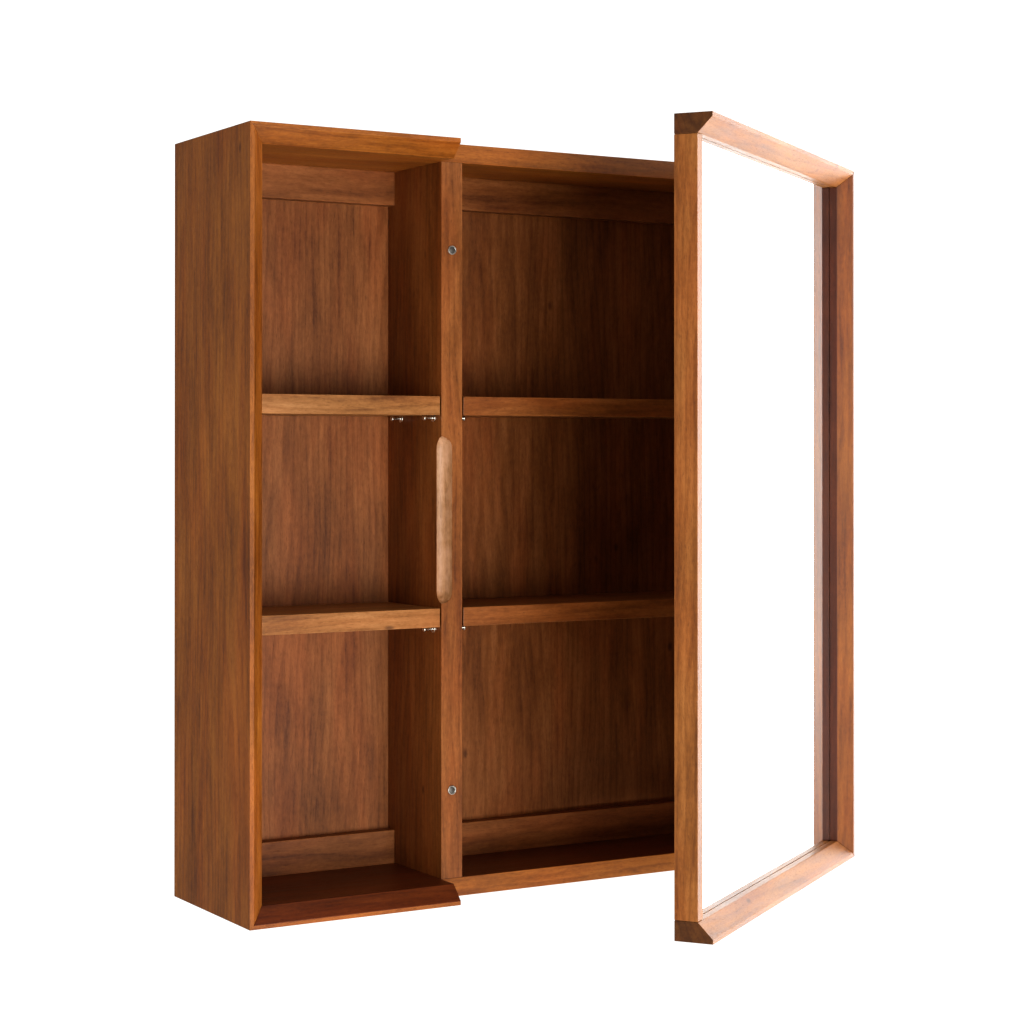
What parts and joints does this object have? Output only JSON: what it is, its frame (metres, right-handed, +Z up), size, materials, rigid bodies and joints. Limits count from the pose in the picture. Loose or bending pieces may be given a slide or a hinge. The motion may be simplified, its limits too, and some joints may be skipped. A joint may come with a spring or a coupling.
{
  "type": "wall medicine cabinet",
  "caption": "Wall-hung wooden medicine cabinet: an open shelf bay beside a bay with a hinged mirror door, in one bevelled frame.",
  "frame": {"origin": "centre of the hanging cleat's rear face, in the plane of the wall", "axes": "+X to the right seen from the room, +Y towards the wall, +Z up"},
  "size_m": [0.7331, 0.4571, 0.762],
  "materials": {
    "case_wood": "stained walnut brown, satin lacquer",
    "inner_wood": "stained walnut brown, satin lacquer",
    "shelf_wood": "stained walnut brown, satin lacquer",
    "frame_wood": "stained walnut brown, satin lacquer",
    "plain_wood": "bare wood",
    "mirror_glass": "silvered glass",
    "steel": "plain steel",
    "nickel": "nickel plated"
  },
  "bodies": {
    "case": {"back_panel": "inner_wood", "bottom_board": "case_wood", "divider": "shelf_wood", "door_bay_lower_rail": "inner_wood", "door_bay_pin_lower_left_front": "nickel", "door_bay_pin_lower_left_rear": "nickel", "door_bay_pin_lower_right_front": "nickel", "door_bay_pin_lower_right_rear": "nickel", "door_bay_pin_upper_left_front": "nickel", "door_bay_pin_upper_left_rear": "nickel", "door_bay_pin_upper_right_front": "nickel", "door_bay_pin_upper_right_rear": "nickel", "door_bay_upper_rail": "inner_wood", "hanging_cleat": "plain_wood", "left_side": "case_wood", "lower_hinge_case_leaf": "nickel", "lower_hinge_case_screw_high": "nickel", "lower_hinge_case_screw_low": "nickel", "lower_hinge_pin": "nickel", "lower_magnet": "steel", "open_bay_lower_rail": "inner_wood", "open_bay_pin_lower_left_front": "nickel", "open_bay_pin_lower_left_rear": "nickel", "open_bay_pin_lower_right_front": "nickel", "open_bay_pin_lower_right_rear": "nickel", "open_bay_pin_upper_left_front": "nickel", "open_bay_pin_upper_left_rear": "nickel", "open_bay_pin_upper_right_front": "nickel", "open_bay_pin_upper_right_rear": "nickel", "open_bay_upper_rail": "inner_wood", "right_side": "case_wood", "top_board": "case_wood", "upper_hinge_case_leaf": "nickel", "upper_hinge_case_screw_high": "nickel", "upper_hinge_case_screw_low": "nickel", "upper_hinge_pin": "nickel", "upper_magnet": "steel", "wall_spacer": "plain_wood"},
    "door": {"door_back_board": "plain_wood", "door_bottom_rail": "frame_wood", "door_free_stile": "frame_wood", "door_hinge_stile": "frame_wood", "door_top_rail": "frame_wood", "lower_hinge_door_leaf": "nickel", "lower_hinge_door_screw_high": "nickel", "lower_hinge_door_screw_low": "nickel", "lower_left_retaining_plate": "steel", "lower_right_retaining_plate": "steel", "lower_strike": "steel", "mirror": "mirror_glass", "upper_hinge_door_leaf": "nickel", "upper_hinge_door_screw_high": "nickel", "upper_hinge_door_screw_low": "nickel", "upper_left_retaining_plate": "steel", "upper_right_retaining_plate": "steel", "upper_strike": "steel"},
    "door_bay_lower_shelf_body": {"door_bay_lower_shelf": "shelf_wood"},
    "door_bay_upper_shelf_body": {"door_bay_upper_shelf": "shelf_wood"},
    "open_bay_lower_shelf_body": {"open_bay_lower_shelf": "shelf_wood"},
    "open_bay_upper_shelf_body": {"open_bay_upper_shelf": "shelf_wood"}
  },
  "joints": [
    {"name": "door_swing", "type": "hinge", "parent": "case", "child": "door", "pos_m": [0.3585, -0.1472, -0.332], "axis": [0, 0, 1], "range_deg": [-35, 75]},
    {"name": "door_bay_lower_shelf_lift", "type": "slide", "parent": "case", "child": "door_bay_lower_shelf_body", "axis": [0, 0, 1], "range_m": [0, 0.03]},
    {"name": "door_bay_upper_shelf_lift", "type": "slide", "parent": "case", "child": "door_bay_upper_shelf_body", "axis": [0, 0, 1], "range_m": [0, 0.03]},
    {"name": "open_bay_lower_shelf_lift", "type": "slide", "parent": "case", "child": "open_bay_lower_shelf_body", "axis": [0, 0, 1], "range_m": [0, 0.03]},
    {"name": "open_bay_upper_shelf_lift", "type": "slide", "parent": "case", "child": "open_bay_upper_shelf_body", "axis": [0, 0, 1], "range_m": [0, 0.03]}
  ]
}
